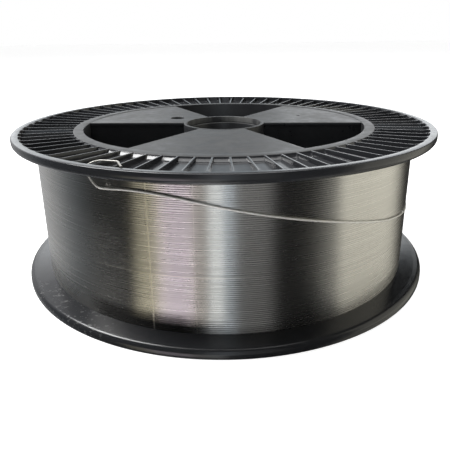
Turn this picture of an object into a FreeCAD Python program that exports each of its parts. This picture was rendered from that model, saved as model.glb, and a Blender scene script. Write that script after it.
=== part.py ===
import FreeCAD, Part
import math
import os

import Sketcher
from FreeCAD import Vector

# Welding wire spool, full of wire and lying flat on one flange.
# Millimetres, +Z up, origin on the bore axis at the level of the lower flange's face.
# Azimuths are counted from +X. A window of the upper flange is centred on +Y.

os.makedirs("parts", exist_ok=True)
document = FreeCAD.newDocument("wire_spool")
sheet = document.addObject("Spreadsheet::Sheet", "Sizes")

# Driving dimensions: alias, value, what it is
driving_sizes = [
    ("flange_radius", 150.0, "outer radius of both flanges"),
    ("spool_width", 103.0, "over both flanges"),
    ("flange_depth", 6.0, "face of a flange to the winding space"),
    ("rim_wall", 4.75, "solid rim round a flange"),
    ("rim_corner", 0.6, "bevel of the rim's outer corner"),
    ("rim_inner_round", 3.0, "rounding of the rim towards the wire"),
    ("plate_wall", 2.0, "flange plate under the ribs"),
    ("rib_count", 72, "radial ribs of one flange"),
    ("rib_wall", 1.2, "thickness of a rib"),
    ("rib_step", 0.1, "rib tops below ring and rim where they meet them"),
    ("rib_knee_inset", 5.5, "from the rim's wall to where the ribs rise to it"),
    ("rib_knee_drop", 1.0, "rib tops there, below the rim's face"),
    ("ring_width", 7.0, "smooth ring inside the ribs"),
    ("ring_drop", 1.5, "ring's face below the rim's"),
    ("web_drop", 1.8, "webs' faces below the rim's"),
    ("barrel_wall", 3.0, "wall of the cylinder that carries the wire"),
    ("window_count", 3, "windows of one flange, with as many webs"),
    ("web_wall", 3.0, "thickness of a web"),
    ("spoke_wall", 2.5, "upright walls between the wells"),
    ("bore_radius", 25.75, "arbor bore"),
    ("hub_wall", 4.55, "wall of the hub tube"),
    ("lead_in_step", 2.25, "wider mouth of the bore, beyond its radius"),
    ("lead_in_depth", 4.5, "depth of that mouth"),
    ("drive_hole_radius", 5.5, "hole for the driving pin"),
    ("drive_hole_offset", 44.5, "driving pin from the bore axis"),
    ("drive_hole_azimuth", 150.0, "on the middle of a web"),
    ("gate_hole_radius", 1.6, "small hole in the next web"),
    ("gate_hole_offset", 67.5, "small hole from the bore axis"),
    ("gate_hole_azimuth", 28.5, "degrees from +X"),
    ("anchor_hole_radius", 2.5, "hole that holds the wire's end"),
    ("anchor_hole_inset", 3.25, "middle of that hole from the rim's wall"),
    ("anchor_hole_azimuth", -117.2, "between two ribs"),
    ("anchor_clear", 6.6, "middle of that hole from the wound wire"),
    ("wound_depth", 29.4, "wound wire, from the barrel to its outer turn"),
    ("winding_gap", 0.2, "clearance of the winding from barrel and upper flange"),
    ("wire_radius", 0.6, "half the wire's diameter"),
    ("wire_gap", 0.15, "clearance of the loose end from what it lies on"),
    ("hook_reach", 2.0, "from a corner of the end's hook to where its bend starts"),
]
for row, (alias, value, note) in enumerate(driving_sizes, start=1):
    sheet.set("A%d" % row, note)
    sheet.set("B%d" % row, str(value))
    sheet.setAlias("B%d" % row, alias)
document.recompute()


def size(alias):
    return float(sheet.get(alias))


# Radii and levels that follow from the driving dimensions, as sheet expressions
rim_inner = "(Sizes.flange_radius - Sizes.rim_wall)"
anchor_offset = "(%s - Sizes.anchor_hole_inset)" % rim_inner
winding_outer = "(%s - Sizes.anchor_clear)" % anchor_offset
barrel_radius = "(%s - Sizes.wound_depth)" % winding_outer
ring_inner = "(%s - Sizes.barrel_wall)" % barrel_radius
ring_outer = "(%s + Sizes.ring_width)" % ring_inner
hub_outer = "(Sizes.bore_radius + Sizes.hub_wall)"
lead_in = "(Sizes.bore_radius + Sizes.lead_in_step)"
plate_drop = "(Sizes.flange_depth - Sizes.plate_wall)"
upper_ring = "(Sizes.spool_width - Sizes.ring_drop)"
upper_web = "(Sizes.spool_width - Sizes.web_drop)"
upper_plate = "(Sizes.spool_width - %s)" % plate_drop
upper_inner = "(Sizes.spool_width - Sizes.flange_depth)"
well_depth = "(Sizes.spool_width - 2 * Sizes.web_drop - Sizes.web_wall)"
half_sector = "(90 / Sizes.window_count)"


def origin_part(body, role):
    """One of the body's own origin planes or axes."""
    for feature in body.Origin.OriginFeatures:
        if feature.Role == role:
            return feature
    raise RuntimeError("no origin feature " + role)


def new_sketch(body, name, plane, level=None):
    """A sketch on an origin plane of the body, raised to a level given as an expression."""
    sketch = body.newObject("Sketcher::SketchObject", name)
    sketch.AttachmentSupport = [(origin_part(body, plane), "")]
    sketch.MapMode = "FlatFace"
    if level:
        sketch.setExpression("AttachmentOffset.Base.z", level)
    document.recompute()
    return sketch


def bind(sketch, constraint, expression):
    """Adds a dimension to the sketch and ties it to the sheet."""
    index = sketch.addConstraint(constraint)
    sketch.setExpression("Constraints[%d]" % index, expression)


def value_of(expression):
    """Number behind an expression, to draw the sketch near its final form."""
    return float(sheet.evalExpression(expression.replace("Sizes.", "")))


def straight_outline(sketch, corners):
    """Closed outline of straight edges; each corner is (radius, height) as expressions."""
    spots = [Vector(value_of(x), value_of(z), 0) for x, z in corners]
    count = len(corners)
    for index in range(count):
        sketch.addGeometry(Part.LineSegment(spots[index], spots[(index + 1) % count]), False)
    for index in range(count):
        sketch.addConstraint(Sketcher.Constraint("Coincident", index, 2, (index + 1) % count, 1))
    for index, (x, z) in enumerate(corners):
        bind(sketch, Sketcher.Constraint("DistanceX", -1, 1, index, 1, spots[index].x), x)
        if z == "0":
            sketch.addConstraint(Sketcher.Constraint("PointOnObject", index, 1, -1))
        else:
            bind(sketch, Sketcher.Constraint("DistanceY", -1, 1, index, 1, spots[index].y), z)


def revolve(body, sketch, name):
    turned = body.newObject("PartDesign::Revolution", name)
    turned.Profile = sketch
    turned.ReferenceAxis = (sketch, ["V_Axis"])
    turned.Angle = 360
    document.recompute()
    return turned


def pad_both_ways(body, sketch, name, length):
    feature = body.newObject("PartDesign::Pad", name)
    feature.Profile = sketch
    feature.Midplane = True
    feature.setExpression("Length", length)
    document.recompute()
    return feature


def pocket(body, sketch, name, length, upwards=False):
    """Cuts down from the sketch, or up; a cut that takes nothing away is an error."""
    before = body.Shape.Volume
    feature = body.newObject("PartDesign::Pocket", name)
    feature.Profile = sketch
    feature.Reversed = upwards
    feature.setExpression("Length", length)
    document.recompute()
    if body.Shape.Volume >= before:
        raise RuntimeError(name + " cuts nothing")
    return feature


def turn_round(body, name, features, count):
    """Repeats features evenly about the bore axis."""
    pattern = body.newObject("PartDesign::PolarPattern", name)
    pattern.Originals = features
    pattern.Axis = (origin_part(body, "Z_Axis"), [""])
    pattern.Angle = 360
    pattern.setExpression("Occurrences", count)
    body.Tip = pattern
    document.recompute()
    return pattern


def circle_sketch(body, name, level, holes):
    """Round holes, each as the expressions of its radius, its offset and its azimuth."""
    sketch = new_sketch(body, name, "XY_Plane", level)
    for radius, offset, azimuth in holes:
        angle = math.radians(value_of(azimuth))
        reach = value_of(offset)
        centre = Vector(math.cos(angle), math.sin(angle), 0) * reach
        circle = sketch.addGeometry(Part.Circle(centre, Vector(0, 0, 1), value_of(radius)), False)
        spoke = sketch.addGeometry(Part.LineSegment(Vector(0, 0, 0), centre), True)
        sketch.addConstraint(Sketcher.Constraint("Coincident", spoke, 1, -1, 1))
        sketch.addConstraint(Sketcher.Constraint("Coincident", spoke, 2, circle, 3))
        bind(sketch, Sketcher.Constraint("Radius", circle, value_of(radius)), radius)
        bind(sketch, Sketcher.Constraint("Distance", spoke, reach), offset)
        bind(sketch, Sketcher.Constraint("Angle", -1, 1, spoke, 1, angle), azimuth + " * 1 deg")
    document.recompute()
    return sketch


def sector_sketch(body, name, level, middle):
    """A window's outline: two arcs about the bore and two sides parallel to its edges' radii."""
    sketch = new_sketch(body, name, "XY_Plane", level)
    half = math.radians(value_of(half_sector))
    centre = math.radians(middle)
    inset = size("spoke_wall") / 2
    near, far = value_of(hub_outer), value_of(ring_inner)

    def corner(radius, side):
        along = math.sqrt(radius ** 2 - inset ** 2)
        angle = centre + side * half
        ray = Vector(math.cos(angle), math.sin(angle), 0)
        across = Vector(-math.sin(angle), math.cos(angle), 0)
        return ray * along - across * (side * inset)

    def arc(radius):
        start, end = corner(radius, -1), corner(radius, 1)
        return Part.ArcOfCircle(Part.Circle(Vector(0, 0, 0), Vector(0, 0, 1), radius),
                                math.atan2(start.y, start.x), math.atan2(end.y, end.x))

    outer = sketch.addGeometry(arc(far), False)
    left = sketch.addGeometry(Part.LineSegment(corner(far, 1), corner(near, 1)), False)
    inner = sketch.addGeometry(arc(near), False)
    right = sketch.addGeometry(Part.LineSegment(corner(near, -1), corner(far, -1)), False)
    for first, first_end, second, second_end in (
            (outer, 2, left, 1), (left, 2, inner, 2), (inner, 1, right, 1), (right, 2, outer, 1)):
        sketch.addConstraint(Sketcher.Constraint("Coincident", first, first_end, second, second_end))
    for edge in (outer, inner):
        sketch.addConstraint(Sketcher.Constraint("Coincident", edge, 3, -1, 1))
    bind(sketch, Sketcher.Constraint("Radius", outer, far), ring_inner)
    bind(sketch, Sketcher.Constraint("Radius", inner, near), hub_outer)
    for side, direction in ((left, 1), (right, -1)):
        bind(sketch, Sketcher.Constraint("Distance", -1, 1, side, inset), "Sizes.spoke_wall / 2")
        angle = centre + direction * half
        if side == left:
            angle += math.pi
        sketch.addConstraint(Sketcher.Constraint("Angle", side, angle))
    document.recompute()
    return sketch


def rim_outline(face, inner, sign):
    """Rim's corners from its face to the winding space, which lies to the sign's side of it.

    The rounding towards the wire is drawn as three chords of its arc.
    """
    corners = [
        ("Sizes.flange_radius - Sizes.rim_corner", face),
        ("Sizes.flange_radius", "%s %s Sizes.rim_corner" % (face, sign)),
    ]
    for angle in (0, 30, 60, 90):
        corners.append((
            "Sizes.flange_radius - Sizes.rim_inner_round * (1 - cos(%d))" % angle,
            "%s %s Sizes.rim_inner_round * (sin(%d) - 1)" % (inner, sign, angle),
        ))
    return corners


# Spool: flanges, hub, barrel and webs are one moulding
def make_spool():
    body = document.addObject("PartDesign::Body", "spool")
    body.Label = "spool"
    lower_lead = "(Sizes.web_drop + Sizes.lead_in_depth)"
    upper_lead = "(Sizes.spool_width - %s)" % lower_lead
    lower_rim = rim_outline("0", "Sizes.flange_depth", "+")
    upper_rim = rim_outline("Sizes.spool_width", upper_inner, "-")
    section = new_sketch(body, "spool_section", "XZ_Plane")
    straight_outline(section, [
        ("Sizes.bore_radius", lower_lead),
        (lead_in, lower_lead),
        (lead_in, "Sizes.web_drop"),
        (ring_inner, "Sizes.web_drop"),
        (ring_inner, "Sizes.ring_drop"),
        (ring_outer, "Sizes.ring_drop"),
        (ring_outer, plate_drop),
        (rim_inner, plate_drop),
        (rim_inner, "0"),
        *lower_rim,
        (barrel_radius, "Sizes.flange_depth"),
        (barrel_radius, upper_inner),
        *reversed(upper_rim),
        (rim_inner, "Sizes.spool_width"),
        (rim_inner, upper_plate),
        (ring_outer, upper_plate),
        (ring_outer, upper_ring),
        (ring_inner, upper_ring),
        (ring_inner, upper_web),
        (lead_in, upper_web),
        (lead_in, upper_lead),
        ("Sizes.bore_radius", upper_lead),
    ])
    revolve(body, section, "turned_spool")

    # Wells: a window opens each one at one flange, and a web of the other flange closes it
    upper_middle = 90.0
    lower_middle = upper_middle + value_of(half_sector) * 2
    upper_wells = pocket(body, sector_sketch(body, "upper_window", upper_web, upper_middle),
                         "upper_well", well_depth)
    turn_round(body, "upper_wells", [upper_wells], "Sizes.window_count")
    lower_wells = pocket(body, sector_sketch(body, "lower_window", "Sizes.web_drop", lower_middle),
                         "lower_well", well_depth, upwards=True)
    turn_round(body, "lower_wells", [lower_wells], "Sizes.window_count")

    # Pin and gate holes: the lower flange is the upper one turned over about an edge of a window
    turned_over = "2 * (90 - %s)" % half_sector
    holes = [("Sizes.drive_hole_radius", "Sizes.drive_hole_offset", "Sizes.drive_hole_azimuth"),
             ("Sizes.gate_hole_radius", "Sizes.gate_hole_offset", "Sizes.gate_hole_azimuth")]
    lower_holes = [(radius, offset, "(%s - %s)" % (turned_over, azimuth))
                   for radius, offset, azimuth in holes]
    pocket(body, circle_sketch(body, "upper_holes", upper_web, holes),
           "upper_hole_cuts", "Sizes.web_wall * 1.5")
    pocket(body, circle_sketch(body, "lower_holes", "Sizes.web_drop", lower_holes),
           "lower_hole_cuts", "Sizes.web_wall * 1.5", upwards=True)
    anchor = [("Sizes.anchor_hole_radius", anchor_offset, "Sizes.anchor_hole_azimuth")]
    pocket(body, circle_sketch(body, "anchor_hole", upper_plate, anchor),
           "anchor_hole_cut", "Sizes.plate_wall")

    # Ribs: one on each flange, sunk a little into ring and rim, repeated round the axis.
    # Each corner is a radius and a drop below the rim's face.
    ribs = []
    sink = 0.5
    near, far = "(%s - %g)" % (ring_outer, sink), "(%s + %g)" % (rim_inner, sink)
    outline = [
        (near, plate_drop),
        (near, "(Sizes.ring_drop + Sizes.rib_step)"),
        ("(%s - Sizes.rib_knee_inset)" % rim_inner, "Sizes.rib_knee_drop"),
        (far, "Sizes.rib_step"),
        (far, plate_drop),
    ]
    for name, upper in (("lower_rib", False), ("upper_rib", True)):
        sketch = new_sketch(body, name + "_outline", "XZ_Plane")
        corners = outline
        if upper:
            corners = [(radius, "(Sizes.spool_width - %s)" % drop) for radius, drop in outline]
        straight_outline(sketch, corners)
        document.recompute()
        ribs.append(pad_both_ways(body, sketch, name, "Sizes.rib_wall"))
    turn_round(body, "ribs", ribs, "Sizes.rib_count")
    return body


# Winding: the wound wire as one turned solid round the barrel
def make_winding():
    body = document.addObject("PartDesign::Body", "wire_winding")
    body.Label = "wire_winding"
    inside = "(%s + Sizes.winding_gap)" % barrel_radius
    top = "(%s - Sizes.winding_gap)" % upper_inner
    section = new_sketch(body, "winding_section", "XZ_Plane")
    straight_outline(section, [
        (inside, "Sizes.flange_depth"),
        (winding_outer, "Sizes.flange_depth"),
        (winding_outer, top),
        (inside, top),
    ])
    revolve(body, section, "turned_winding")
    return body


def polar(radius, azimuth, height):
    angle = math.radians(azimuth)
    return Vector(radius * math.cos(angle), radius * math.sin(angle), height)


def rounded_path(spots, tight_corners):
    """Straight runs joined by tangent arcs, each as large as its two runs allow.

    The last corners, as many as tight_corners says, have tighter bends.
    """
    edges = []
    radii = []
    start = spots[0]
    first_tight = len(spots) - 1 - tight_corners
    for index, (before, corner, after) in enumerate(zip(spots, spots[1:], spots[2:]), start=1):
        back, ahead = before - corner, after - corner
        turn = math.pi - back.getAngle(ahead)
        reach = 0.45 * min(back.Length, ahead.Length)
        if index >= first_tight:
            reach = min(reach, size("hook_reach"))
        radii.append(reach / math.tan(turn / 2))
        first = corner + back.normalize() * reach
        last = corner + ahead.normalize() * reach
        inward = (back + ahead).normalize()
        middle_distance = radii[-1] * (1 / math.cos(turn / 2) - 1)
        edges.append(Part.LineSegment(start, first).toShape())
        edges.append(Part.Arc(first, corner + inward * middle_distance, last).toShape())
        start = last
    edges.append(Part.LineSegment(start, spots[-1]).toShape())
    return Part.Wire(edges), radii


def eight_sided(centre, direction, radius):
    """Outline of the wire's section as an octagon as large in area as the round wire."""
    normal = Vector(direction).normalize()
    first = normal.cross(Vector(0, 0, 1)).normalize()
    second = normal.cross(first)
    sides = 8
    step = 2 * math.pi / sides
    corner = radius * math.sqrt(2 * math.pi / (sides * math.sin(step)))
    spots = [centre + first * (corner * math.cos(step * index)) + second * (corner * math.sin(step * index))
             for index in range(sides)]
    return Part.makePolygon(spots + spots[:1])


# Loose end of the wire: round the winding, out through the anchor hole, over two ribs to the rim
def make_tail():
    wire = size("wire_radius")
    gap = size("wire_gap")
    on_winding = value_of(winding_outer) + wire + gap
    over = size("spool_width") - size("rib_knee_drop") + wire + gap
    plate = value_of(upper_plate)
    under = value_of(upper_inner)
    hole, hole_azimuth = value_of(anchor_offset), size("anchor_hole_azimuth")
    traverse = under - size("flange_depth")
    # Azimuth and height as a share of the winding space, where the end climbs round the winding
    climb = [(-17.0, 0.508), (-27.0, 0.512), (-47.0, 0.598), (-67.0, 0.710),
             (-86.0, 0.815), (-103.0, 0.902), (-115.8, 0.889)]
    # Runs 20 degrees apart touch the circle that the wire's middle follows
    step = math.radians(10)
    spots = [polar(on_winding / math.cos(step), azimuth, size("flange_depth") + share * traverse)
             for azimuth, share in climb]
    spots[0] = polar(on_winding, climb[0][0], spots[0].z)
    spots[-1] = polar(on_winding + wire, climb[-1][0], spots[-1].z)
    spots += [
        polar(hole - 1.0, hole_azimuth + 0.6, under - 3.6),
        polar(hole, hole_azimuth, plate + 1.2),
        polar(hole - 4.9, hole_azimuth + 1.9, over + 0.3),
        polar(hole - 7.3, hole_azimuth + 6.3, over + 0.2),
        polar(hole + 2.3, hole_azimuth + 10.0, over + 0.35),
    ]
    path, radii = rounded_path(spots, 3)
    print("bends of the loose end, mm:", " ".join("%.1f" % radius for radius in radii))
    profile = eight_sided(spots[0], spots[1] - spots[0], wire)
    tube = path.makePipeShell([profile], True, False)
    print("loose end %.1f mm long, volume %.1f of %.1f" % (
        path.Length, tube.Volume, math.pi * wire ** 2 * path.Length))
    tail = document.addObject("Part::Feature", "wire_tail")
    tail.Label = "wire_tail"
    tail.Shape = tube
    return tail


sub_parts = [make_spool(), make_winding(), make_tail()]
document.recompute()
for item in document.Objects:
    if "Invalid" in item.State or "Error" in item.State:
        raise RuntimeError("%s failed: %s" % (item.Name, item.State))
for item in sub_parts:
    if item.Shape.isNull() or not item.Shape.isValid():
        raise RuntimeError(item.Label + " has no valid shape")
for item in sub_parts:
    item.Shape.exportStep("parts/%s.step" % item.Label)
    print("%s: %d solid, %.0f mm3" % (item.Label, len(item.Shape.Solids), item.Shape.Volume))
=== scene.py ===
import math

import bpy
import numpy as np
from mathutils import Matrix, Vector


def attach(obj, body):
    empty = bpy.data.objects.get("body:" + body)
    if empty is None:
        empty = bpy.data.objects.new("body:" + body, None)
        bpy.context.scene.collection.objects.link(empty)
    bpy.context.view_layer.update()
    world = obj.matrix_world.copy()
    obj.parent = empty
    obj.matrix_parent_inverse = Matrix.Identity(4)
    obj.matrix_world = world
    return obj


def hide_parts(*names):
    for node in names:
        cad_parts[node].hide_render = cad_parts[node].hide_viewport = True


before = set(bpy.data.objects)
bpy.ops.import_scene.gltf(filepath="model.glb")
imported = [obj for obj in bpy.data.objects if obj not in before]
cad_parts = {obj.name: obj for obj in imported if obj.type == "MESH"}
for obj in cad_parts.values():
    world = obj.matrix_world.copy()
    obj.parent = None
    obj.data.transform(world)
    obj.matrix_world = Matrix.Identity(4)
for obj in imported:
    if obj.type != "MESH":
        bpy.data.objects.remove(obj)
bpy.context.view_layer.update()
print("frame loaded:", ", ".join(sorted(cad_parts)))

# Lengths below are in millimetres and angles in degrees, azimuths from +X.
mm = 0.001
randomDraws = np.random.default_rng(7)


# Mesh helpers

def gridQuads(rows, columns, wrapRows, wrapColumns):
    # corner numbers of each cell of the grid; a wrapped side goes on to its first line
    row = np.arange(rows if wrapRows else rows - 1)
    column = np.arange(columns if wrapColumns else columns - 1)
    row, column = np.meshgrid(row, column, indexing="ij")
    nextRow, nextColumn = (row + 1) % rows, (column + 1) % columns
    corners = (row * columns + column, row * columns + nextColumn,
               nextRow * columns + nextColumn, nextRow * columns + column)
    return np.stack(corners, axis=-1).reshape(-1, 4)


def signedVolume(points, quads):
    # sum over the triangles of corner . (next corner x last corner) / 6
    a, b, c, d = (points[quads[:, k]] for k in range(4))
    return (np.einsum("ij,ij->i", a, np.cross(b, c)) + np.einsum("ij,ij->i", a, np.cross(c, d))).sum() / 6


def meshObject(name, points, quads, caps=()):
    # points in millimetres; quads and caps are turned over together if they enclose a negative volume
    points = np.asarray(points, float).reshape(-1, 3)
    if signedVolume(points - points.mean(axis=0), quads) < 0:
        quads = quads[:, ::-1]
        caps = [list(cap)[::-1] for cap in caps]
    mesh = bpy.data.meshes.new(name)
    mesh.from_pydata((points * mm).tolist(), [], quads.tolist() + [list(cap) for cap in caps])
    mesh.update()
    made = bpy.data.objects.new(name, mesh)
    bpy.context.scene.collection.objects.link(made)
    return made


def joined(shells):
    # one point list and one quad list from several closed shells
    points, quads, start = [], [], 0
    for shellPoints, shellQuads in shells:
        if signedVolume(shellPoints - shellPoints.mean(axis=0), shellQuads) < 0:
            shellQuads = shellQuads[:, ::-1]
        points.append(shellPoints)
        quads.append(shellQuads + start)
        start += len(shellPoints)
    return np.concatenate(points), np.concatenate(quads)


def turnedShell(loop, columns):
    # closed loop of (radius, height) carried round the axis: x = r cos a, y = r sin a
    loop = np.asarray(loop, float)
    angle = np.linspace(0, 2 * np.pi, columns, endpoint=False)
    points = np.stack((loop[:, :1] * np.cos(angle), loop[:, :1] * np.sin(angle),
                       np.repeat(loop[:, 1:], columns, axis=1)), axis=-1)
    return points.reshape(-1, 3), gridQuads(len(loop), columns, True, True)


def smoothed(made, sharpAngle):
    # soft shading, with edges kept sharp past the angle
    made.data.shade_smooth()
    made.data.set_sharp_from_angle(angle=math.radians(sharpAngle))
    return made


def smoothStep(value, start, end):
    # 3t^2 - 2t^3 with t the share of the way from start to end, held at 0 and 1
    t = np.clip((value - start) / (end - start), 0, 1)
    return t * t * (3 - 2 * t)


# Spool: two ribbed flanges, barrel, hub, webs and spokes, as one moulding
spool = {
    "radius": 150.0, "width": 103.0, "flangeDepth": 6.0, "rimInner": 145.25, "rimRound": 3.0,
    "plateWall": 2.0, "ringInner": 103.0, "ringOuter": 110.0, "ringDrop": 1.5, "barrelRadius": 106.0,
    "ribCount": 72, "ribWall": 1.2, "ribStep": 0.1, "ribKnee": 139.75, "ribKneeDrop": 1.0,
    "pocketRound": 2.2, "ringSlope": 2.4,
    # across half a rib: distance beyond its flank and share of its height reached there
    "ribFlank": (0.4, 0.16, 0.05, -0.04, -0.12, -0.24), "ribShare": (0, 0.03, 0.13, 0.9, 0.98, 1.0),
    # webs and windows are sectors of one angle; webs reach from inside the hub's wall to inside the barrel's
    "webAngle": 60, "webDrop": 1.8, "webWall": 3.0, "webLip": 0.15, "webNear": 29.2,
    "webPastRing": 1.4, "webEdge": 0.3, "webSteps": 40, "spokeWall": 2.5, "spokeInset": 0.8,
    "boreRadius": 25.75, "hubWall": 4.55, "mouthStep": 2.25, "mouthDepth": 4.5, "hubLip": 0.12,
    "hubColumns": 160, "holeSteps": 48, "plugBore": 0.02, "sharpAngle": 38,
    # holes: radius, distance from the axis, azimuth
    "pinHole": (5.5, 44.5, 150.0), "gateHole": (1.6, 67.5, 28.5), "anchorHole": (2.5, 142.0, -117.2),
}


def flangeProfile():
    # half of the section, from the barrel's inner wall over the upper face to its outer wall:
    # columns are radius, height and 1 where the ribs stand
    top, under = spool["width"], spool["width"] - spool["flangeDepth"]
    plate, face = under + spool["plateWall"], top - spool["ringDrop"]
    ring, ringEnd, rim, edge = spool["ringInner"], spool["ringOuter"], spool["rimInner"], spool["radius"]
    slope = spool["ringSlope"]
    rows = [
        (ring, face - 0.28, 0), (ring + 0.08, face - 0.08, 0), (ring + 0.28, face, 0),
        (ringEnd - 0.45, face, 0), (ringEnd - 0.22, face - 0.04, 0), (ringEnd - 0.08, face - 0.16, 1),
        (ringEnd, face - 0.32, 1), (ringEnd + 0.45 * slope, plate + 1.25, 1),
        (ringEnd + 0.98 * slope, plate + 0.14, 1), (ringEnd + 1.12 * slope, plate + 0.02, 1),
        (ringEnd + 1.3 * slope, plate, 1),
        (125, plate, 1), (spool["ribKnee"], plate, 1), (rim - 3.6, plate, 1), (rim - 2.2, plate, 1),
        (rim - 1.5, plate, 1), (rim - 0.95, plate, 1), (rim - 0.6, plate, 1),
        (rim - 0.26, plate + 0.14, 1), (rim - 0.1, plate + 0.5, 1),
        (rim, top - 0.3, 1), (rim + 0.12, top - 0.08, 0), (rim + 0.4, top, 0),
        (edge - 0.9, top, 0), (edge - 0.45, top - 0.09, 0),
        (edge - 0.14, top - 0.34, 0), (edge, top - 0.8, 0),
    ]
    radius = spool["rimRound"]
    for a in np.radians(np.linspace(0, 90, 7)):
        rows.append((edge - radius + radius * math.cos(a), under + radius - radius * math.sin(a), 0))
    barrel = spool["barrelRadius"]
    rows += [(barrel + 0.5, under, 0), (barrel + 0.15, under - 0.15, 0), (barrel, under - 0.5, 0)]
    return np.array(rows, float)


def ribDrop(radius):
    # rib tops below the rim's face: a straight line from the ring to the knee, then
    # knee drop - (knee drop - step) x share squared, up to the rim
    knee, rim, step = spool["ribKnee"], spool["rimInner"], spool["ribStep"]
    ringEnd, kneeDrop = spool["ringOuter"], spool["ribKneeDrop"]
    inner = np.interp(radius, (ringEnd, knee), (spool["ringDrop"] + step, kneeDrop))
    share = np.clip((radius - knee) / (rim - knee), 0, 1)
    return np.where(radius > knee, kneeDrop - (kneeDrop - step) * share ** 2, inner)


def ribbedShell():
    # The closed section goes round the axis. In each bay between ribs the azimuths are the rib's own
    # plus offset / radius, so that a rib keeps its thickness, and then even steps to the next rib.
    # Where ribs stand, height = row height + (rib top - row height) x rib share. Near the rim the
    # ribs widen by R - sqrt(R^2 - reach^2), which rounds the pockets' outer corners.
    upper = flangeProfile()
    lower = upper[::-1].copy()
    lower[:, 1] = spool["width"] - lower[:, 1]
    section = np.concatenate((upper, lower))
    radius, level, ribbed = section.T
    corner = spool["pocketRound"]
    reach = np.clip(radius - (spool["rimInner"] - corner), 0, corner)
    half = spool["ribWall"] / 2 + corner - np.sqrt(corner ** 2 - reach ** 2)
    share = np.array(spool["ribShare"])
    side = half[:, None] + np.array(spool["ribFlank"])[None, :]
    offset = np.concatenate((-side, side[:, ::-1]), axis=1)
    step = 2 * np.pi / spool["ribCount"]
    foot = offset[:, -1:] / radius[:, None]
    spare = foot + np.array([[1 / 3, 2 / 3]]) * (step - 2 * foot)
    inBay = np.concatenate((offset / radius[:, None], spare), axis=1)
    bay = np.arange(spool["ribCount"])[None, :, None] * step
    angle = (bay + inBay[:, None, :]).reshape(len(section), -1)
    ribShare = np.tile(np.concatenate((share, share[::-1], [0, 0])), spool["ribCount"])
    drop = ribDrop(radius)
    ribTop = np.where(level > spool["width"] / 2, spool["width"] - drop, drop)
    height = level[:, None] + ((ribTop - level) * ribbed)[:, None] * ribShare[None, :]
    points = np.stack((radius[:, None] * np.cos(angle), radius[:, None] * np.sin(angle), height), axis=-1)
    return points.reshape(-1, 3), gridQuads(len(section), angle.shape[1], True, True)


def hubLoop():
    # closed section of the hub tube, with its two wider mouths
    bore, step = spool["boreRadius"], spool["mouthStep"]
    outer = bore + spool["hubWall"]
    web = spool["width"] - spool["webDrop"]
    top, seat = web + spool["hubLip"], web - spool["mouthDepth"]
    upper = [(bore, seat - 0.4), (bore + 0.12, seat - 0.12), (bore + 0.4, seat), (bore + step, seat),
             (bore + step, top - 0.35), (bore + step + 0.1, top - 0.1), (bore + step + 0.35, top),
             (outer - 0.3, top), (outer - 0.08, top - 0.08), (outer, top - 0.3)]
    lower = [(radius, spool["width"] - height) for radius, height in reversed(upper)]
    return upper + lower


def sectorSlab(middle, half, side, near, far, levels):
    # Outline of two arcs and two sides parallel to the sector's edges, stacked at the given
    # (inset, height) levels: a side runs at distance side - inset beyond its edge's ray.
    steps = spool["webSteps"]
    rings = []
    for inset, height in levels:
        reach = side - inset
        ring = []
        for radius, direction in ((far, 1), (near, -1)):
            end = half + math.asin(reach / radius)
            angle = middle + direction * np.linspace(-end, end, steps)
            ring.append(np.stack((radius * np.cos(angle), radius * np.sin(angle)), axis=-1))
        ring = np.concatenate(ring)
        rings.append(np.column_stack((ring, np.full(len(ring), height))))
    count = 2 * steps
    points = np.concatenate(rings)
    quads = gridQuads(len(levels), count, False, True)
    # the two faces are strips of quads between the outer arc and the inner arc
    outer = np.arange(steps - 1)
    inner = count - 1 - outer
    strip = np.stack((outer, outer + 1, inner - 1, inner), axis=-1)
    last = (len(levels) - 1) * count
    return points, np.concatenate((quads, strip[:, ::-1], strip + last))


def checkedShell(shell):
    # the strips of a slab have to turn the same way as its sides: each edge is used once each way
    quads = shell[1]
    edges = np.concatenate([quads[:, (k, (k + 1) % 4)] for k in range(4)])
    forward = set(map(tuple, edges.tolist()))
    if any((b, a) not in forward for a, b in forward) or len(forward) != len(edges):
        raise RuntimeError("a shell is open or turns two ways")
    return shell


def spokeSlab(azimuth, near, far, low, high):
    # box along a radius: corners at +-half its thickness across
    half = spool["spokeWall"] / 2
    along = np.array([math.cos(azimuth), math.sin(azimuth), 0])
    across = np.array([-math.sin(azimuth), math.cos(azimuth), 0])
    ring = [along * near - across * half, along * far - across * half,
            along * far + across * half, along * near + across * half]
    points = np.array([p + np.array([0, 0, z]) for z in (low, high) for p in ring])
    quads = gridQuads(2, 4, False, True)
    return points, np.concatenate((quads, [[3, 2, 1, 0], [4, 5, 6, 7]]))


def holePlug(radius, offset, azimuth, profile):
    # plug to cut with: (added radius, height) pairs carried round the hole's own axis. It has a bore,
    # so a thread of plastic as thin as that bore stays in the middle of the hole.
    a, bore = math.radians(azimuth), spool["plugBore"]
    loop = [(bore, profile[0][1])] + [(radius + grow, z) for grow, z in profile] + [(bore, profile[-1][1])]
    points, quads = turnedShell(loop, spool["holeSteps"])
    return points + np.array([offset * math.cos(a), offset * math.sin(a), 0]), quads


def combine(target, tool, operation):
    change = target.modifiers.new(operation.lower(), "BOOLEAN")
    change.operation = operation
    change.solver = "MANIFOLD"
    change.object = tool
    bpy.context.view_layer.update()
    evaluated = target.evaluated_get(bpy.context.evaluated_depsgraph_get())
    result = bpy.data.meshes.new_from_object(evaluated)
    target.modifiers.clear()
    old = target.data
    target.data = result
    bpy.data.meshes.remove(old)
    bpy.data.objects.remove(tool)
    return len(result.polygons)


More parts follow.
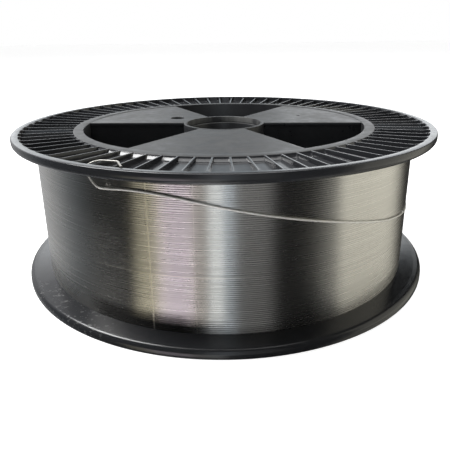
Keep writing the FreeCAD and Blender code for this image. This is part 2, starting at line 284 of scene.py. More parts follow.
def makeSpool():
    # the first upper web starts at azimuth 0, the others two sectors on, the lower ones between them
    width, rise, wall = spool["width"], spool["webDrop"], spool["webWall"]
    sector = spool["webAngle"]
    half = math.radians(sector / 2)
    near, far = spool["webNear"], spool["ringInner"] + spool["webPastRing"]
    side = spool["spokeWall"] / 2 + spool["webLip"]
    bevel = spool["webEdge"]
    edge = [(bevel, 0.0), (0.3 * bevel, 0.3 * bevel), (0.0, bevel)]
    body = meshObject("spoolBody", *ribbedShell())
    tools = [("UNION", "hubTube", turnedShell(hubLoop(), spool["hubColumns"]))]
    for name, first, top in (("upperWebs", 0.5, width - rise), ("lowerWebs", 1.5, rise + wall)):
        levels = [(inset, top - drop) for inset, drop in edge]
        levels += [(inset, top - wall + drop) for inset, drop in reversed(edge)]
        middles = [math.radians(sector * (first + 2 * k)) for k in range(3)]
        webs = [checkedShell(sectorSlab(middle, half, side, near, far, levels)) for middle in middles]
        tools.append(("UNION", name, joined(webs)))
    low = rise + spool["spokeInset"]
    spokes = [spokeSlab(math.radians(sector * k), near, far, low, width - low) for k in range(6)]
    tools.append(("UNION", "spokes", joined(spokes)))
    # each cut widens towards the open face, which rounds the hole's edge; the lower end's holes are
    # the upper end's, turned over about the azimuth at which the first web ends
    webTop = width - rise
    upperCut = [(0, webTop - wall - 1), (0, webTop - 0.5), (0.12, webTop - 0.2), (0.4, webTop + 0.02),
                (1.0, webTop + 1)]
    lowerCut = [(grow, width - z) for grow, z in upperCut]
    plugs = []
    for radius, offset, azimuth in (spool["pinHole"], spool["gateHole"]):
        plugs.append(holePlug(radius, offset, azimuth, upperCut))
        plugs.append(holePlug(radius, offset, 2 * sector - azimuth, lowerCut))
    plate = width - spool["flangeDepth"]
    through = plate + spool["plateWall"]
    anchorCut = [(0.5, plate - 1), (0.2, plate - 0.01), (0, plate + 0.2),
                 (0, through - 0.2), (0.2, through + 0.01), (0.4, through + 0.6)]
    plugs.append(holePlug(*spool["anchorHole"], anchorCut))
    tools.append(("DIFFERENCE", "holes", joined(plugs)))
    for operation, name, shell in tools:
        count = combine(body, meshObject(name, *shell), operation)
        print("spool:", operation.lower(), name, count, "faces")
    body.data.name = "spoolBody"
    return smoothed(body, spool["sharpAngle"])


# Winding: close turns of wire between the flanges
winding = {
    "turns": 75, "outer": 135.4, "inner": 106.2, "low": 6.04, "high": 96.76, "columns": 216,
    "arc": 13.0, "arcPoints": 6, "endInset": 1.2, "sharpAngle": 28,
    # how far turns stand out and apart: slow waves of the azimuth with their parts, and each turn's own
    "unevenRise": 0.007, "unevenPitch": 0.015, "waves": ((1, 1.0), (2, 0.8), (5, 0.5), (9, 0.3)),
    "turnRise": 0.003, "meanDip": 0.1, "mostDip": 0.4,
    # a seam's fade along the turns, half its width, how far it pushes the turns, in degrees and millimetres
    "seamFade": 8, "seamWidth": 0.5, "seamReach": 4.0,
    # seams where turns stand apart: azimuths where it starts and ends, its height there, half the gap
    "seams": [(-138, -88, 79.2, 79.2, 0.36), (-72, -30, 80.8, 75.6, 0.20), (-60, -20, 87.5, 84.0, 0.10),
              (-78, -34, 70.5, 70.0, 0.07)],
    # turns that stand proud: azimuths, height, rise; and their fade
    "proud": [(-108, -84, 41.2, 0.16)], "proudFade": 4,
}


def windingSurface():
    # Each turn is an arc of a circle R = w / sin(arc), w half the pitch: radius = outer - R (1 - cos p)
    # and height = middle + R sin p, p from -arc to arc. Slow waves of the azimuth, different for each
    # turn, move it in and out and up and down.
    turns, columns = winding["turns"], winding["columns"]
    pitch = (winding["high"] - winding["low"]) / turns
    w, arc = pitch / 2, math.radians(winding["arc"])
    p = np.linspace(-arc, arc, winding["arcPoints"])
    bend = w / math.sin(arc)
    angle = np.linspace(-np.pi, np.pi, columns, endpoint=False)
    middle = winding["low"] + pitch * (np.arange(turns) + 0.5)
    rise = np.zeros((turns, columns))
    shift = np.zeros((turns, columns))
    for wave, part in winding["waves"]:
        for target, amount in ((rise, winding["unevenRise"]), (shift, winding["unevenPitch"])):
            phase = randomDraws.uniform(0, 2 * np.pi, (turns, 1))
            size = randomDraws.normal(0, 1, (turns, 1))
            target += amount * 0.5 * part * size * np.sin(wave * angle[None, :] + phase)
    rise += randomDraws.normal(0, winding["turnRise"], (turns, 1))
    degrees, z = np.degrees(angle)[None, :], middle[:, None]
    fade = winding["seamFade"]
    for start, end, startHeight, endHeight, gap in winding["seams"]:
        along = smoothStep(degrees, start, start + fade) * (1 - smoothStep(degrees, end - fade, end))
        level = startHeight + (endHeight - startHeight) * (degrees - start) / (end - start)
        away = z - level
        push = np.tanh(away / winding["seamWidth"]) * np.exp(-np.abs(away) / winding["seamReach"])
        shift += gap * along * push
    fade = winding["proudFade"]
    for start, end, height, lift in winding["proud"]:
        along = smoothStep(degrees, start, start + fade) * (1 - smoothStep(degrees, end - fade, end))
        rise += lift * along * (np.abs(z - height) < w)
    rise = np.clip(rise - winding["meanDip"], -winding["mostDip"], 0)
    shift *= smoothStep(np.minimum(z - winding["low"], winding["high"] - z), 0.5, 4)
    radius = winding["outer"] - bend + bend * np.cos(p)[None, :, None] + rise[:, None, :]
    height = middle[:, None, None] + bend * np.sin(p)[None, :, None] + shift[:, None, :]
    radius = radius.reshape(-1, columns)
    height = np.broadcast_to(height, (turns, len(p), columns)).reshape(-1, columns)
    # end faces and the inner wall close the section
    flat = np.ones((1, columns))
    shoulder = flat * (winding["outer"] - winding["endInset"])
    radius = np.concatenate((flat * winding["inner"], shoulder, radius, shoulder, flat * winding["inner"]))
    height = np.concatenate((flat * winding["low"], flat * winding["low"], height,
                             flat * winding["high"], flat * winding["high"]))
    height = np.clip(height, winding["low"], winding["high"])
    points = np.stack((radius * np.cos(angle), radius * np.sin(angle), height), axis=-1)
    made = meshObject("windingTurns", points, gridQuads(len(radius), columns, True, True))
    return smoothed(made, winding["sharpAngle"])


# Loose end: lies round the winding, passes up through the flange, over two ribs and back to the rim
looseWire = {
    "radius": 0.6, "sides": 14, "steps": 520, "arcRadius": 136.0, "sharpAngle": 60,
    # azimuth, radius, height
    "route": [
        (-17.0, 134.7, 52.2), (-22.0, 135.5, 52.3), (-27.7, 136.0, 53.0), (-38.9, 136.1, 56.6),
        (-47.0, 136.1, 60.4), (-57.7, 136.1, 66.0), (-70.0, 136.1, 72.3), (-83.5, 136.1, 79.3),
        (-96.3, 136.15, 85.6), (-104.2, 136.2, 88.0), (-109.5, 136.4, 88.3), (-113.5, 136.9, 87.8),
        (-115.6, 138.6, 88.6), (-116.6, 141.0, 93.4), (-117.2, 141.9, 98.6), (-116.9, 141.2, 100.8),
        (-115.9, 138.8, 102.3), (-114.7, 136.6, 102.75), (-112.6, 135.4, 102.75), (-111.2, 134.8, 102.75),
        (-110.6, 135.2, 102.75), (-110.0, 136.8, 102.8), (-108.6, 140.6, 103.0), (-107.2, 144.4, 103.1),
    ],
}


def smoothRoute(knots, steps):
    # cubic through the knots with slopes from their neighbours (Catmull-Rom), in even steps of length
    knots = np.asarray(knots, float)
    padded = np.concatenate((2 * knots[:1] - knots[1:2], knots, 2 * knots[-1:] - knots[-2:-1]))
    fine = []
    t = np.linspace(0, 1, 40, endpoint=False)[:, None]
    for before, start, end, after in zip(padded, padded[1:], padded[2:], padded[3:]):
        square = 2 * before - 5 * start + 4 * end - after
        cube = 3 * start - before - 3 * end + after
        fine.append(0.5 * (2 * start + (end - before) * t + square * t ** 2 + cube * t ** 3))
    fine = np.concatenate(fine + [knots[-1:]])
    length = np.concatenate(([0], np.cumsum(np.linalg.norm(np.diff(fine, axis=0), axis=1))))
    even = np.linspace(0, length[-1], steps)
    return np.stack([np.interp(even, length, fine[:, k]) for k in range(3)], axis=-1)


def makeLooseWire():
    # the route is smoothed unrolled, with arc length for azimuth, and rolled round the axis again;
    # tube round it: centre + radius x (cos s u + sin s v), with u and v square to the path
    azimuth, radius, height = np.array(looseWire["route"]).T
    arc = np.radians(azimuth) * looseWire["arcRadius"]
    smooth = smoothRoute(np.stack((arc, radius, height), axis=-1), looseWire["steps"])
    angle = smooth[:, 0] / looseWire["arcRadius"]
    path = np.stack((smooth[:, 1] * np.cos(angle), smooth[:, 1] * np.sin(angle), smooth[:, 2]), axis=-1)
    tangent = np.gradient(path, axis=0)
    tangent /= np.linalg.norm(tangent, axis=1, keepdims=True)
    u = np.cross(tangent, [0.2, 0.1, 1.0])
    u /= np.linalg.norm(u, axis=1, keepdims=True)
    v = np.cross(tangent, u)
    sides = looseWire["sides"]
    s = np.linspace(0, 2 * np.pi, sides, endpoint=False)[None, :, None]
    around = np.cos(s) * u[:, None, :] + np.sin(s) * v[:, None, :]
    points = (path[:, None, :] + looseWire["radius"] * around).reshape(-1, 3)
    caps = [list(range(sides))[::-1], list(range(len(points) - sides, len(points)))]
    made = meshObject("looseWire", points, gridQuads(len(path), sides, False, True), caps)
    return smoothed(made, looseWire["sharpAngle"])


# Finishes

def newMaterial(name):
    material = bpy.data.materials.new(name)
    material.use_nodes = True
    tree = material.node_tree
    shader = tree.nodes["Principled BSDF"]
    return material, tree, shader


def addNode(tree, kind, values=(), **settings):
    node = tree.nodes.new(kind)
    for key, value in settings.items():
        setattr(node, key, value)
    for socket, value in dict(values).items():
        if isinstance(value, bpy.types.NodeSocket):
            tree.links.new(value, node.inputs[socket])
        else:
            node.inputs[socket].default_value = value
    return node


def noise(tree, place, scale, detail=3.0, roughness=0.55, distortion=0.0):
    values = {"Vector": place, "Scale": scale, "Detail": detail, "Roughness": roughness,
              "Distortion": distortion}
    return addNode(tree, "ShaderNodeTexNoise", values).outputs["Fac"]


def spread(tree, value, fromLow, fromHigh, toLow, toHigh):
    # fromLow becomes toLow and fromHigh becomes toHigh, held at both ends
    node = addNode(tree, "ShaderNodeMapRange", {"Value": value, "From Min": fromLow, "From Max": fromHigh,
                                                "To Min": toLow, "To Max": toHigh})
    return node.outputs["Result"]


def calculate(tree, operation, first, second):
    return addNode(tree, "ShaderNodeMath", {0: first, 1: second}, operation=operation).outputs[0]


def times(tree, first, second):
    return calculate(tree, "MULTIPLY", first, second)


def plus(tree, first, second):
    return calculate(tree, "ADD", first, second)


def larger(tree, first, second):
    return calculate(tree, "MAXIMUM", first, second)


def stretched(tree, scale):
    place = addNode(tree, "ShaderNodeTexCoord").outputs["Object"]
    return addNode(tree, "ShaderNodeMapping", {"Vector": place, "Scale": scale}).outputs["Vector"]


def mixed(tree, share, first, second):
    node = addNode(tree, "ShaderNodeMix", {0: share}, data_type="RGBA")
    for socket, value in ((6, first), (7, second)):
        if isinstance(value, bpy.types.NodeSocket):
            tree.links.new(value, node.inputs[socket])
        else:
            node.inputs[socket].default_value = value
    return node.outputs[2]


def axisDistance(tree):
    # distance from the bore axis, in metres as all coordinates of a shader
    place = addNode(tree, "ShaderNodeTexCoord").outputs["Object"]
    flat = addNode(tree, "ShaderNodeVectorMath", {0: place, 1: (1, 1, 0)}, operation="MULTIPLY").outputs[0]
    return addNode(tree, "ShaderNodeVectorMath", {0: flat}, operation="LENGTH").outputs["Value"]


def heightAbove(tree):
    place = addNode(tree, "ShaderNodeTexCoord").outputs["Object"]
    return addNode(tree, "ShaderNodeSeparateXYZ", {0: place}).outputs["Z"]


def azimuthOf(tree):
    # azimuth in degrees from +X
    place = addNode(tree, "ShaderNodeTexCoord").outputs["Object"]
    axes = addNode(tree, "ShaderNodeSeparateXYZ", {0: place}).outputs
    turn = calculate(tree, "ARCTAN2", axes["Y"], axes["X"])
    return times(tree, turn, 180 / math.pi)


def band(tree, value, start, end, soft):
    # 1 between start and end, falling to 0 over soft on both sides
    rising = spread(tree, value, start - soft, start, 0, 1)
    falling = spread(tree, value, end, end + soft, 1, 0)
    return times(tree, rising, falling)


# A scale is how many clouds or streaks of noise lie to the metre, along x, y and z where it has three.
plastic = {
    "colour": (0.024, 0.025, 0.028, 1), "dustAndSheenColour": (0.25, 0.25, 0.24, 1), "ior": 1.5,
    "matteRoughness": (0.24, 0.36), "pocketRoughness": 0.13, "rimRoughness": 0.20,
    # unevenness of the gloss, and how far the mottle moves the roughness inside the ring and outside it
    "flowScale": (26, 26, 12), "mottleScale": 160, "mottleInside": (-0.04, 0.05),
    "mottleOutside": (-0.03, 0.04),
    # specks of dust: how many to the metre, strength, and how many clouds of them to the metre
    "specks": (420.0, 0.22, 34),
    # film of dust: its clouds to the metre, least and most; share of it beyond the ring, on upright walls
    "film": (110, 0.07, 0.20), "filmBeyondRing": 0.12, "filmUpright": 0.25,
    # scuffs on the lower flange: azimuths, their fade, height in millimetres, strength
    "scuffed": (-143, -118, 6, 6.2), "scuffStrength": 0.30, "scuffScale": (260, 420, 420),
    # painted sheen on the wall of the hub's mouth: radii and lowest height, least and most of its pale
    # upright stripes, and the azimuths and strength of a lighter place of painted light
    "mouth": (27.8, 28.2, 97.0), "mouthSheenStripes": (0.12, 0.5), "mouthScale": (170, 170, 1),
    "mouthPaintedLight": (50, 84, 0.45),
    # bumps: fine grain and broad waves, each with how many to the metre, strength, depth in millimetres
    "grain": (1400, 0.06, 0.1), "waves": (75, 0.12, 0.5),
}


def bumped(tree, height, strength, depth, below=None):
    values = {"Height": height, "Strength": strength, "Distance": depth * mm}
    if below is not None:
        values["Normal"] = below
    return addNode(tree, "ShaderNodeBump", values).outputs["Normal"]


def plasticDustAndSheen(tree, place, radius, inside):
    # share of dust and painted sheen at a place: specks, a film on what faces up, scuffs, and pale stripes
    # of painted sheen on the wall of the hub's mouth
    count, strength, cloud = plastic["specks"]
    cells = addNode(tree, "ShaderNodeTexVoronoi", {"Vector": place, "Scale": count}, feature="F1")
    speck = spread(tree, cells.outputs["Distance"], 0.06, 0.12, 1, 0)
    where = spread(tree, noise(tree, place, cloud, 2), 0.60, 0.72, 0, 1)
    dust = times(tree, times(tree, speck, where), strength)
    facing = addNode(tree, "ShaderNodeNewGeometry").outputs["Normal"]
    facingUp = addNode(tree, "ShaderNodeSeparateXYZ", {0: facing}).outputs["Z"]
    upward = spread(tree, facingUp, 0.6, 0.9, plastic["filmUpright"], 1)
    cloud, least, most = plastic["film"]
    film = spread(tree, noise(tree, place, cloud, 5, 0.65), 0.34, 0.66, least, most)
    film = times(tree, film, spread(tree, inside, 0, 1, plastic["filmBeyondRing"], 1))
    film = times(tree, film, upward)
    azimuth, level = azimuthOf(tree), heightAbove(tree)
    # Painted sheen: pale upright stripes and a lighter place on the wall of the hub's mouth stand in for
    # light on it, and join the film's share.
    low, high, seat = plastic["mouth"]
    mouth = times(tree, band(tree, radius, low * mm, high * mm, 0.2 * mm),
                  spread(tree, level, seat * mm, (seat + 0.4) * mm, 0, 1))
    upright = noise(tree, stretched(tree, plastic["mouthScale"]), 1.0, 2, 0.5)
    paintedSheenStripes = spread(tree, upright, 0.42, 0.62, *plastic["mouthSheenStripes"])
    start, end, light = plastic["mouthPaintedLight"]
    paintedSheenStripes = plus(tree, paintedSheenStripes, times(tree, band(tree, azimuth, start, end, 8), light))
    film = larger(tree, film, times(tree, mouth, paintedSheenStripes))
    start, end, fade, top = plastic["scuffed"]
    scuffed = times(tree, band(tree, azimuth, start, end, fade),
                    spread(tree, level, top * mm, (top + 1) * mm, 1, 0))
    scratched = noise(tree, stretched(tree, plastic["scuffScale"]), 1.0, 3, 0.7)
    scuffs = spread(tree, scratched, 0.58, 0.66, 0, plastic["scuffStrength"])
    return plus(tree, plus(tree, dust, film), times(tree, scuffed, scuffs))


def plasticFinish():
    # matt webs, ring and hub, a glossier rim and still glossier pockets between the ribs
    material, tree, shader = newMaterial("spoolPlastic")
    place = addNode(tree, "ShaderNodeTexCoord").outputs["Object"]
    radius = axisDistance(tree)
    flow = noise(tree, stretched(tree, plastic["flowScale"]), 1.0, 4, 0.6, 0.6)
    mottle = noise(tree, place, plastic["mottleScale"], 4, 0.6)
    matte = plus(tree, spread(tree, flow, 0.3, 0.7, *plastic["matteRoughness"]),
                 spread(tree, mottle, 0.3, 0.7, *plastic["mottleInside"]))
    ring, rim = spool["ringOuter"], spool["rimInner"]
    inside = spread(tree, radius, (ring - 0.1) * mm, (ring + 0.1) * mm, 1, 0)
    onRim = spread(tree, radius, (rim - 0.35) * mm, (rim - 0.05) * mm, 0, 1)
    outer = spread(tree, onRim, 0, 1, plastic["pocketRoughness"], plastic["rimRoughness"])
    outer = plus(tree, outer, spread(tree, mottle, 0.3, 0.7, *plastic["mottleOutside"]))
    rough = addNode(tree, "ShaderNodeMix", {0: inside, 2: outer, 3: matte}).outputs[0]
    # the share of dust also carries the painted sheen of the hub's mouth
    dust = plasticDustAndSheen(tree, place, radius, inside)
    tree.links.new(mixed(tree, dust, plastic["colour"], plastic["dustAndSheenColour"]), shader.inputs["Base Color"])
    tree.links.new(plus(tree, rough, dust), shader.inputs["Roughness"])
    shader.inputs["IOR"].default_value = plastic["ior"]
    count, strength, depth = plastic["grain"]
    fine = bumped(tree, noise(tree, place, count, 3, 0.6), strength, depth)
    count, strength, depth = plastic["waves"]
    broad = bumped(tree, noise(tree, place, count, 2, 0.5), strength, depth, fine)
    tree.links.new(broad, shader.inputs["Normal"])
    return material


wire = {
    "darkColour": (0.53, 0.52, 0.50, 1), "paleMarkAndHighlightColour": (1.0, 0.97, 0.88, 1),
    "endShadeColour": (0.42, 0.41, 0.38, 1), "footShadeColour": (0.10, 0.095, 0.09, 1),
    "woundColour": (0.63, 0.62, 0.595, 1), "looseColour": (0.96, 0.94, 0.89, 1),
    "woundRoughness": (0.255, 0.285), "looseRoughness": (0.34, 0.42),
    "woundVariation": 0.5, "looseVariation": 0.1, "woundMetal": 1.0, "looseMetal": 0.4, "drawn": 0.93,
    # above these heights in millimetres the loose end is darker: painted shade on its bends
    "endShade": (88.5, 89.5),
    # upright scratches: azimuth, half width in degrees, strength
    "scratches": [(-104.3, 0.24, 0.75), (-93.6, 0.12, 0.2)],
    # azimuths, their fade, heights in millimetres, strength: painted shade at the foot above the lower
    # flange, rubbed patch, painted highlight on one turn
    "foot": (-118, -97.5, 7, 14.0, 19.0, 0.78),
    "patch": (-118.5, -109.5, 4, 42.0, 72.0, 0.5),
    "paintedHighlightTurn": (-117.0, -84.0, 5, 41.0, 41.3, 0.8),
    # scales: tone from turn to turn, cloudy gloss, breaks in a scratch, streaks of the rubbed patch
    "turnScale": (3, 3, 850), "cloudScale": 30, "breakScale": (8, 8, 900), "streakScale": (90, 90, 1500),
    # least and most that the clouds add to the roughness, and what a pale mark or the painted highlight adds
    "cloudRoughness": (-0.01, 0.02), "markRoughness": 0.08,
    # fine drawing lines: scale, strength, depth in millimetres
    "lines": ((60, 60, 5200), 0.035, 0.05),
}


def wireMetal(name, kind):
    # bare metal whose tone changes a little from turn to turn
    material, tree, shader = newMaterial(name)
    place = addNode(tree, "ShaderNodeTexCoord").outputs["Object"]
    turnTone = noise(tree, stretched(tree, wire["turnScale"]), 1.0, 2, 0.7)
    cloud = noise(tree, place, wire["cloudScale"], 3, 0.6)
    tone = spread(tree, turnTone, 0.35, 0.65, 0, wire[kind + "Variation"])
    shade = mixed(tree, tone, wire[kind + "Colour"], wire["darkColour"])
    rough = plus(tree, spread(tree, turnTone, 0.3, 0.7, *wire[kind + "Roughness"]),
                 spread(tree, cloud, 0.3, 0.7, *wire["cloudRoughness"]))
    shader.inputs["Metallic"].default_value = wire[kind + "Metal"]
    scale, strength, depth = wire["lines"]
    lines = noise(tree, stretched(tree, scale), 1.0, 2, 0.6)
    tree.links.new(bumped(tree, lines, strength, depth), shader.inputs["Normal"])
    return material, tree, shader, shade, rough


def looseWireFinish():
    # painted shade: the bends where it leaves the winding are darker
    material, tree, shader, shade, rough = wireMetal("looseWireMetal", "loose")
    low, high = wire["endShade"]
    endShade = spread(tree, heightAbove(tree), low * mm, high * mm, 0, 1)
    tree.links.new(mixed(tree, endShade, shade, wire["endShadeColour"]), shader.inputs["Base Color"])
    tree.links.new(rough, shader.inputs["Roughness"])
    return material


def woundWireFinish():
    # scratches and a rubbed patch are paler, one turn carries a painted highlight, and the foot at the front
    # left is darker with painted shade
    material, tree, shader, shade, rough = wireMetal("woundWire", "wound")
    azimuth, level = azimuthOf(tree), heightAbove(tree)
    broken = noise(tree, stretched(tree, wire["breakScale"]), 1.0, 3, 0.7)
    broken = spread(tree, broken, 0.34, 0.50, 0.25, 1)
    # painted highlight: a pale, rougher band along one turn
    start, end, fade, low, high, strength = wire["paintedHighlightTurn"]
    turn = times(tree, band(tree, azimuth, start, end, fade),
                 band(tree, level, low * mm, high * mm, 0.2 * mm))
    marksAndHighlight = times(tree, turn, strength)
    for middle, half, strength in wire["scratches"]:
        line = band(tree, azimuth, middle - half / 2, middle + half / 2, half / 2)
        marksAndHighlight = larger(tree, marksAndHighlight, times(tree, times(tree, line, broken), strength))
    start, end, fade, low, high, strength = wire["patch"]
    rubbed = times(tree, band(tree, azimuth, start, end, fade),
                   band(tree, level, low * mm, high * mm, 6 * mm))
    streaks = noise(tree, stretched(tree, wire["streakScale"]), 1.0, 3, 0.7)
    marksAndHighlight = larger(tree, marksAndHighlight, times(tree, rubbed, spread(tree, streaks, 0.55, 0.68, 0, strength)))
    # painted shade: the foot above the lower flange is darker, where the flange is mirrored dark
    start, end, fade, low, high, strength = wire["foot"]
    foot = times(tree, band(tree, azimuth, start, end, fade),
                 spread(tree, level, low * mm, high * mm, strength, 0))
    shade = mixed(tree, foot, shade, wire["footShadeColour"])
    tree.links.new(mixed(tree, marksAndHighlight, shade, wire["paleMarkAndHighlightColour"]), shader.inputs["Base Color"])
    rough = plus(tree, rough, times(tree, marksAndHighlight, wire["markRoughness"]))
    tree.links.new(rough, shader.inputs["Roughness"])
    # drawing lines along the turns spread reflections up and down
    shader.inputs["Anisotropic"].default_value = wire["drawn"]
    upright = addNode(tree, "ShaderNodeCombineXYZ", {"Z": 1.0}).outputs[0]
    tree.links.new(upright, shader.inputs["Tangent"])
    return material


# Pieces on the frame
spoolBody = makeSpool()
spoolBody.data.materials.clear()
spoolBody.data.materials.append(plasticFinish())
windingTurns = windingSurface()
windingTurns.data.materials.append(woundWireFinish())
looseEnd = makeLooseWire()
looseEnd.data.materials.append(looseWireFinish())
print("finishes ready")
for piece, node, slot in ((spoolBody, "spool", "spool_plastic"),
                          (windingTurns, "wire_winding", "wound_wire"),
                          (looseEnd, "wire_tail", "loose_wire")):
    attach(piece, "root")
    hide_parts(node)
for piece in (spoolBody, windingTurns, looseEnd):
    print("piece", piece.name, sum(len(face.vertices) - 2 for face in piece.data.polygons), "triangles")


# Light: a dome of soft cards all round for reflections, two lamps, a pale floor and a white backdrop
# fade is how far a card fades up and down, floorSeen how bright the floor is to the camera
studio = {
    "domeRadius": 2500.0, "domeBase": 0.018, "domeColumns": 360, "domeRows": 120, "fade": 5.0,
    "floorSize": 12000.0, "floorColour": (0.80, 0.80, 0.80, 1), "floorRoughness": 0.9, "floorSeen": 0.88,
    # azimuths where a card starts and ends, its fades there, elevations, strength, tint
    "cards": {
        "rightEdge": (68, 100, 10, 4, -60, -4, 0.60, (1.0, 1.0, 1.0)),
        "leftBack": (104, 121, 4, 8, -60, 0, 0.75, (0.99, 1.0, 1.01)),
        "leftWide": (123, 143, 8, 38, -60, 40, 0.45, (0.99, 1.0, 1.02)),
        "leftUpper": (123, 146, 8, 22, 2, 34, 0.25, (0.99, 1.0, 1.02)),
        "backSky": (62, 122, 8, 10, 4, 20, 0.56, (0.90, 1.0, 1.07)),
        "backRight": (60, 82, 6, 7, 3, 17, 1.38, (1.0, 1.0, 1.0)),
        "backLeft": (104, 122, 6, 10, 5, 24, 0.75, (1.0, 1.0, 1.0)),
        "leftGrey": (165, 176, 12, 22, -60, 30, 0.10, (0.90, 1.0, 1.10)),
        "leftWarm": (-166, -146, 8, 6, -60, 30, 0.02, (1.0, 1.0, 0.95)),
        "floorGlow": (-140, -88, 20, 25, -89, -68, 3.2, (1.0, 1.0, 1.0)),
        "olivePanel": (-137, -125, 6, 3, -38, -19, 1.05, (1.08, 1.0, 0.75)),
        "pinkPanel": (-124, -107, 3, 3, -38, -19, 1.85, (1.08, 0.95, 1.07)),
        "fawnPanel": (-106, -98, 2, 2, -38, -19, 0.98, (1.06, 0.98, 0.9)),
        "whiteStripeLow": (-95.5, -88.5, 1.5, 1.5, -42, -20, 1.5, (0.98, 1.0, 0.99)),
        "whiteStripeHigh": (-95.5, -88.5, 1.5, 1.5, -18, 40, 0.80, (0.95, 1.0, 1.05)),
        "blueEdge": (-87.5, -84, 1, 4, -22, 40, 0.80, (0.88, 1.0, 1.13)),
        "frontGrey": (-82, -66, 3, 10, -22, 40, 0.26, (1.0, 1.0, 1.0)),
        "rightRamp": (-26, -18, 12, 6, -60, 40, 0.11, (1.0, 1.0, 0.96)),
        "rightWarmLow": (-16, 20, 10, 26, -60, -20, 0.45, (1.03, 1.0, 0.87)),
        "rightWarmHigh": (-16, 20, 9, 26, -18, 40, 0.86, (1.03, 1.0, 0.87)),
    },
    # lamps: azimuth, elevation, then distance, width and height in metres, and power in watts
    "lamps": {"overhead": (90, 80, 1.8, 1.3, 1.3, 18.0), "left": (172, 58, 1.6, 0.66, 0.80, 29.0)},
}


def domeLight():
    # brightness at a direction = base + sum of the cards, each falling smoothly to nothing past its edges
    columns, rows = studio["domeColumns"], studio["domeRows"]
    azimuth = np.linspace(-180, 180, columns, endpoint=False)[None, :]
    elevation = np.linspace(-89.5, 89.5, rows)[:, None]
    around, up = np.radians(azimuth), np.radians(elevation)
    radius = studio["domeRadius"]
    points = radius * np.stack((np.cos(up) * np.cos(around), np.cos(up) * np.sin(around),
                                np.sin(up) * np.ones_like(around)), axis=-1)
    dome = meshObject("lightDome", points, gridQuads(rows, columns, False, True))
    glow = np.full((rows, columns, 3), studio["domeBase"])
    fade = studio["fade"]
    for start, end, fadeIn, fadeOut, low, high, strength, tint in studio["cards"].values():
        middle = (start + end) / 2
        away = (azimuth - middle + 180) % 360 - 180
        half = (end - start) / 2
        side = smoothStep(away, -half - fadeIn, -half) * (1 - smoothStep(away, half, half + fadeOut))
        upright = smoothStep(elevation, low - fade, low) * (1 - smoothStep(elevation, high, high + fade))
        glow += strength * (side * upright)[:, :, None] * np.array(tint)
    layer = dome.data.color_attributes.new("glow", "FLOAT_COLOR", "POINT")
    layer.data.foreach_set("color", np.concatenate((glow, np.ones((rows, columns, 1))), axis=-1).ravel())
    material, tree, shader = newMaterial("lightCards")
    tree.nodes.remove(shader)
    glowColour = addNode(tree, "ShaderNodeAttribute", attribute_name="glow").outputs["Color"]
    light = addNode(tree, "ShaderNodeEmission", {"Color": glowColour, "Strength": 1.0})
    tree.links.new(light.outputs[0], tree.nodes["Material Output"].inputs["Surface"])
    material.cycles.emission_sampling = "NONE"
    dome.data.materials.append(material)
    # the camera sees the backdrop and not the dome, and the dome shades nothing
    dome.visible_camera = False
    dome.visible_shadow = False


def floorAndBackdrop():
    # both show white to the camera; the metal mirrors the dome's cards in place of the floor
    size = studio["floorSize"]
    corners = np.array([(-size, -size, 0), (size, -size, 0), (size, size, 0), (-size, size, 0)], float)
    mesh = bpy.data.meshes.new("floor")
    mesh.from_pydata((corners * mm).tolist(), [], [[0, 1, 2, 3]])
    floor = bpy.data.objects.new("floor", mesh)
    bpy.context.scene.collection.objects.link(floor)
    material, tree, shader = newMaterial("paleFloor")
    shader.inputs["Base Color"].default_value = studio["floorColour"]
    shader.inputs["Roughness"].default_value = studio["floorRoughness"]
    path = addNode(tree, "ShaderNodeLightPath")
    shader.inputs["Emission Color"].default_value = (1, 1, 1, 1)
    seen = times(tree, path.outputs["Is Camera Ray"], studio["floorSeen"])
    tree.links.new(seen, shader.inputs["Emission Strength"])
    floor.data.materials.append(material)
    floor.visible_glossy = False
    world = bpy.data.worlds.new("studio")
    bpy.context.scene.world = world
    world.use_nodes = True
    tree = world.node_tree
    path = addNode(tree, "ShaderNodeLightPath")
    background = tree.nodes["Background"]
    background.inputs["Color"].default_value = (1, 1, 1, 1)
    seen = larger(tree, path.outputs["Is Camera Ray"], path.outputs["Is Glossy Ray"])
    seen = larger(tree, seen, path.outputs["Is Transmission Ray"])
    tree.links.new(seen, background.inputs["Strength"])


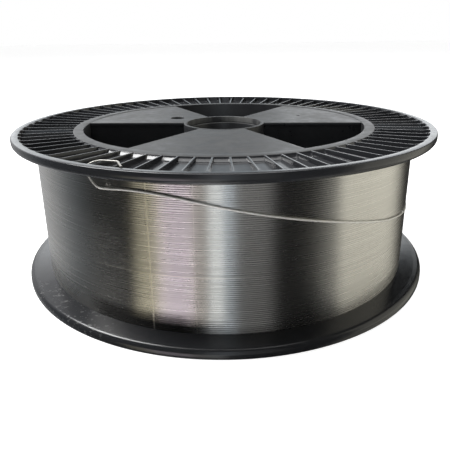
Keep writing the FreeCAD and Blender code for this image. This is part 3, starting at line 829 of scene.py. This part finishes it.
def areaLamps():
    for name, (azimuth, elevation, distance, width, height, power) in studio["lamps"].items():
        lamp = bpy.data.lights.new(name, "AREA")
        lamp.shape = "RECTANGLE"
        lamp.size = width
        lamp.size_y = height
        lamp.energy = power
        made = bpy.data.objects.new(name, lamp)
        around, up = math.radians(azimuth), math.radians(elevation)
        flat = math.cos(up)
        made.location = distance * Vector((flat * math.cos(around), flat * math.sin(around), math.sin(up)))
        made.rotation_euler = (-made.location).to_track_quat("-Z", "Y").to_euler()
        bpy.context.scene.collection.objects.link(made)


# Camera at the photograph's viewing angle: distance and the target's height in millimetres, focal length,
# frame and height of the optical axis in pixels of the photograph, sensor in millimetres
view = {
    "distance": 379.773, "elevation": 17.135, "azimuthTurn": 3.302, "target": 51.5,
    "pan": 0.031, "tilt": -1.521, "roll": -0.71,
    "focalPixels": 477.883, "frame": 450, "axisHeight": 197.585, "sensor": 36.0,
}


def placeCamera():
    # the camera looks at the axis from the front, then turns up, right and about its own line of sight
    e, pan, tilt, roll = (math.radians(view[k]) for k in ("elevation", "pan", "tilt", "roll"))
    distance = view["distance"]
    place = Vector((0, -distance * math.cos(e), view["target"] + distance * math.sin(e)))
    ahead = Vector((0, math.cos(e), -math.sin(e)))
    right = Vector((1, 0, 0))
    up = right.cross(ahead)
    tilted = ahead * math.cos(tilt) + up * math.sin(tilt)
    upTilted = up * math.cos(tilt) - ahead * math.sin(tilt)
    ahead = tilted * math.cos(pan) + right * math.sin(pan)
    rightPanned = right * math.cos(pan) - tilted * math.sin(pan)
    right = rightPanned * math.cos(roll) + upTilted * math.sin(roll)
    up = upTilted * math.cos(roll) - rightPanned * math.sin(roll)
    turn = Matrix.Rotation(math.radians(view["azimuthTurn"]), 4, "Z")
    pose = Matrix((right, up, -ahead)).transposed().to_4x4()
    pose.translation = place * mm
    camera = bpy.data.objects.new("camera", bpy.data.cameras.new("camera"))
    bpy.context.scene.collection.objects.link(camera)
    camera.matrix_world = turn @ pose
    camera.data.sensor_width = view["sensor"]
    camera.data.lens = view["focalPixels"] * view["sensor"] / view["frame"]
    camera.data.shift_y = (view["axisHeight"] - view["frame"] / 2) / view["frame"]
    camera.data.clip_start = 0.01
    bpy.context.scene.camera = camera


placeCamera()
domeLight()
floorAndBackdrop()
areaLamps()
bpy.context.scene.view_settings.view_transform = "Standard"
print("studio ready")
